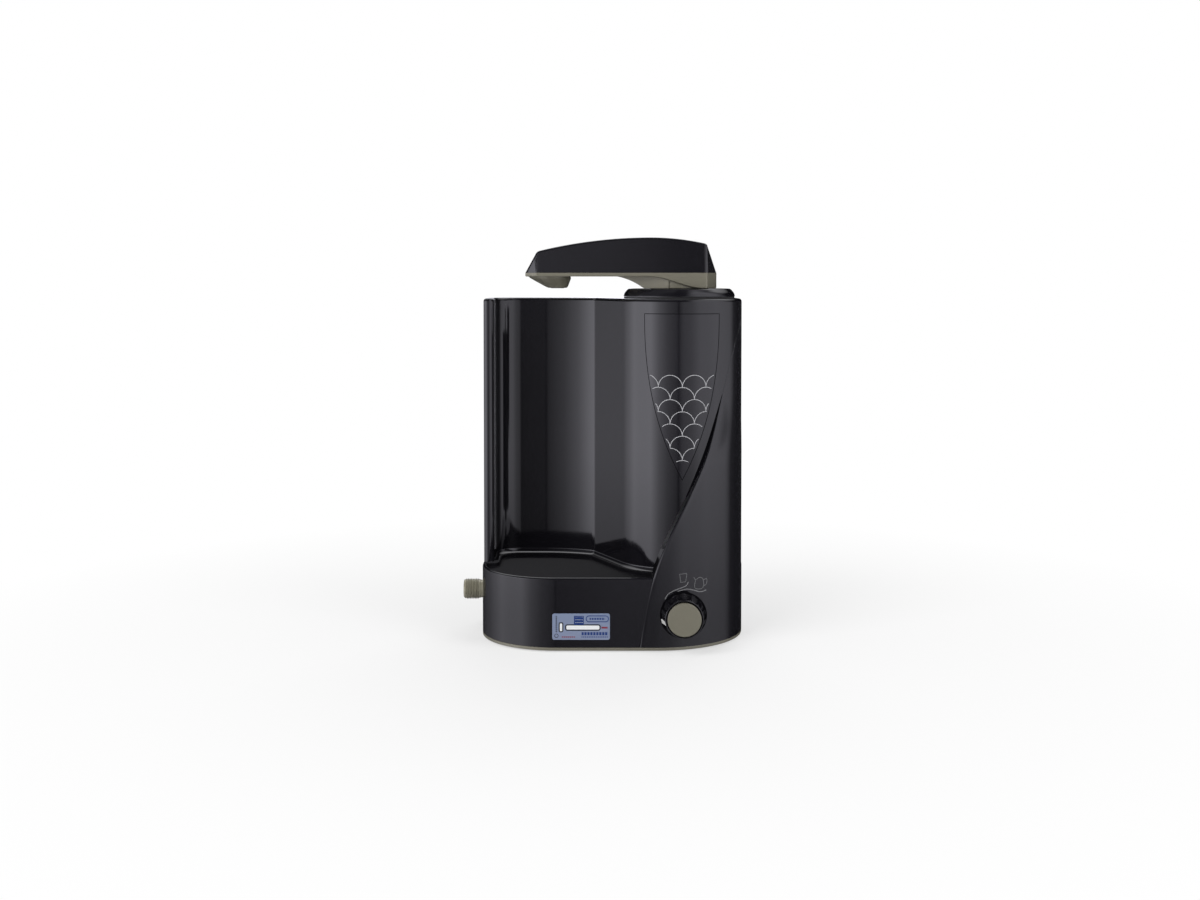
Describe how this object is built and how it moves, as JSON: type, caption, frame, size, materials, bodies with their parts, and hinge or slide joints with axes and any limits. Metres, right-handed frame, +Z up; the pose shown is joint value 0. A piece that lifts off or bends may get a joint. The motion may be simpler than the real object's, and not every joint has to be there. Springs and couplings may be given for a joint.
{
  "type": "countertop water purifier",
  "caption": "Countertop water purifier with a low tray base, open glass bay, round filter column, swivel spout, fluted rotary valve knob and threaded side inlet.",
  "frame": {"origin": "on the counter under the middle of the whole part's box, at the bottom of the rubber feet", "axes": "+Z up, the front with the knob faces -Y, +X to the right as seen from the front, so the inlet points to -X"},
  "size_m": [0.2286, 0.1474, 0.3231],
  "materials": {
    "shell_gloss": "high gloss charcoal",
    "trim_champagne": "satin champagne paint",
    "inlay_gloss": "gloss with thin silver lines",
    "card_blue": "printed card",
    "white_plastic": "satin",
    "rubber": "matte",
    "hose": "smooth silicone",
    "steel": "plated screws and clips",
    "brass": "turned",
    "ceramic": "lapped ceramic",
    "carbon": "pressed carbon"
  },
  "bodies": {
    "root": {"base_plate": "trim_champagne", "rubber_feet": "rubber", "base_screws": "steel", "base_housing": "shell_gloss", "life_indicator": "card_blue", "upper_housing": "shell_gloss", "housing_screws": "steel", "rear_cover": "shell_gloss", "rear_screws": "steel", "front_cover": "shell_gloss", "inlay_plate": "inlay_gloss", "inlet_nipple": "trim_champagne", "inlet_gasket": "rubber", "inlet_nut": "brass", "inlet_hose": "hose", "outlet_hose": "hose", "hose_clips": "steel", "valve_body": "brass", "valve_cap": "brass", "valve_nut": "brass", "valve_disc_fixed": "ceramic", "filter_manifold": "white_plastic", "manifold_screws": "steel", "filter_shell": "white_plastic", "filter_lower_cap": "white_plastic", "filter_upper_cap": "white_plastic", "carbon_block": "carbon", "filter_seals": "rubber", "filter_cap": "shell_gloss", "cap_gasket": "rubber", "swivel_washer": "white_plastic"},
    "knob": {"knob": "shell_gloss", "knob_cap": "trim_champagne", "knob_pointer": "white_plastic", "valve_stem": "brass", "valve_disc": "ceramic", "stem_seal": "rubber"},
    "spout": {"spout_base": "trim_champagne", "spout_cover": "shell_gloss", "spout_screws": "steel", "spout_spigot": "white_plastic", "spigot_seals": "rubber", "spigot_clip": "steel", "spout_tube": "hose", "nozzle_insert": "shell_gloss"}
  },
  "joints": [
    {"name": "spout_swivel", "type": "hinge", "parent": "root", "child": "spout", "pos_m": [0.0628, 0.01565, 0.283], "axis": [0, 0, 1], "continuous": true},
    {"name": "knob_turn", "type": "hinge", "parent": "root", "child": "knob", "pos_m": [0.0628, -0.06, 0.029], "axis": [0, 1, 0], "range_deg": [0, 150]}
  ]
}
